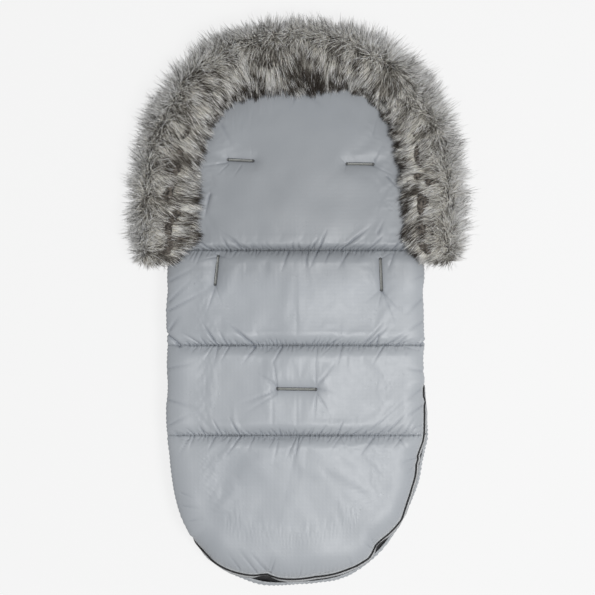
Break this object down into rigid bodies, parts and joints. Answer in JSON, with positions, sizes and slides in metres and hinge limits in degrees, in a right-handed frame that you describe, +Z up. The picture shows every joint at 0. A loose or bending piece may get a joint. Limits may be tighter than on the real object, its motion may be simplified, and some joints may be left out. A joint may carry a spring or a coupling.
{
  "type": "stroller footmuff",
  "caption": "Quilted padded sleeping sack for a stroller seat, with harness slots, a two-way side zip and a hood trimmed in faux fur.",
  "frame": {"origin": "on the floor, under the middle of the whole outline, with the front cover down", "axes": "+Z up, from the front cover to the back panel; +Y towards the hood; +X to the right as the back panel is looked at with the hood at the top"},
  "size_m": [0.61, 1, 0.0871],
  "materials": {
    "nylon": "satin woven nylon, quilted",
    "wadding": "matte polyester wadding",
    "fleece": "matte pile fleece",
    "binding": "matte woven tape",
    "zip_tape": "matte woven zip tape",
    "zip_coil": "dark moulded coil",
    "fur": "long faux-fur pile",
    "metal": "dull grey zip metal"
  },
  "bodies": {
    "back": {"back_shell": "nylon", "back_wadding": "wadding", "back_lining": "fleece", "back_edge_binding": "binding", "back_zip_tape": "zip_tape", "back_zip_coil": "zip_coil", "back_zip_stop_left": "metal", "back_zip_stop_right": "metal", "waist_slot_binding_left": "binding", "waist_slot_binding_right": "binding", "crotch_slot_binding": "binding", "foot_shell": "nylon", "foot_wadding": "wadding", "foot_lining": "fleece", "foot_edge_binding": "binding", "foot_zip_tape": "zip_tape", "foot_zip_coil": "zip_coil"},
    "head_section": {"head_shell": "nylon", "head_wadding": "wadding", "head_lining": "fleece", "shoulder_slot_binding_left": "binding", "shoulder_slot_binding_right": "binding", "fur_trim": "fur"},
    "cover_flap": {"cover_shell": "nylon", "cover_wadding": "wadding", "cover_lining": "fleece", "cover_top_hem": "binding", "cover_edge_binding_left": "binding", "cover_edge_binding_right": "binding", "cover_zip_tape_left": "zip_tape", "cover_zip_tape_right": "zip_tape", "cover_zip_coil_left": "zip_coil", "cover_zip_coil_right": "zip_coil", "cover_zip_stop_left": "metal", "cover_zip_stop_right": "metal"},
    "slider_left": {"zip_slider_left": "metal"},
    "slider_right": {"zip_slider_right": "metal"},
    "pull_left": {"zip_pull_left": "metal"},
    "pull_right": {"zip_pull_right": "metal"}
  },
  "joints": [
    {"name": "head_fold", "type": "hinge", "parent": "back", "child": "head_section", "pos_m": [0, 0.083, 0.054], "axis": [-1, 0, 0], "range_deg": [0, 90]},
    {"name": "cover_fold", "type": "hinge", "parent": "back", "child": "cover_flap", "pos_m": [0, -0.2405, 0], "axis": [-1, 0, 0], "range_deg": [0, 170]},
    {"name": "zip_run_left", "type": "slide", "parent": "back", "child": "slider_left", "axis": [0, -1, 0], "range_m": [0, 0.262]},
    {"name": "zip_run_right", "type": "slide", "parent": "back", "child": "slider_right", "axis": [0, -1, 0], "range_m": [0, 0.262]},
    {"name": "pull_swing_left", "type": "hinge", "parent": "slider_left", "child": "pull_left", "pos_m": [-0.21906, 0.036, 0.041], "axis": [0, 0, -1], "range_deg": [0, 150]},
    {"name": "pull_swing_right", "type": "hinge", "parent": "slider_right", "child": "pull_right", "pos_m": [0.21906, 0.036, 0.041], "axis": [0, 0, 1], "range_deg": [0, 150]}
  ]
}
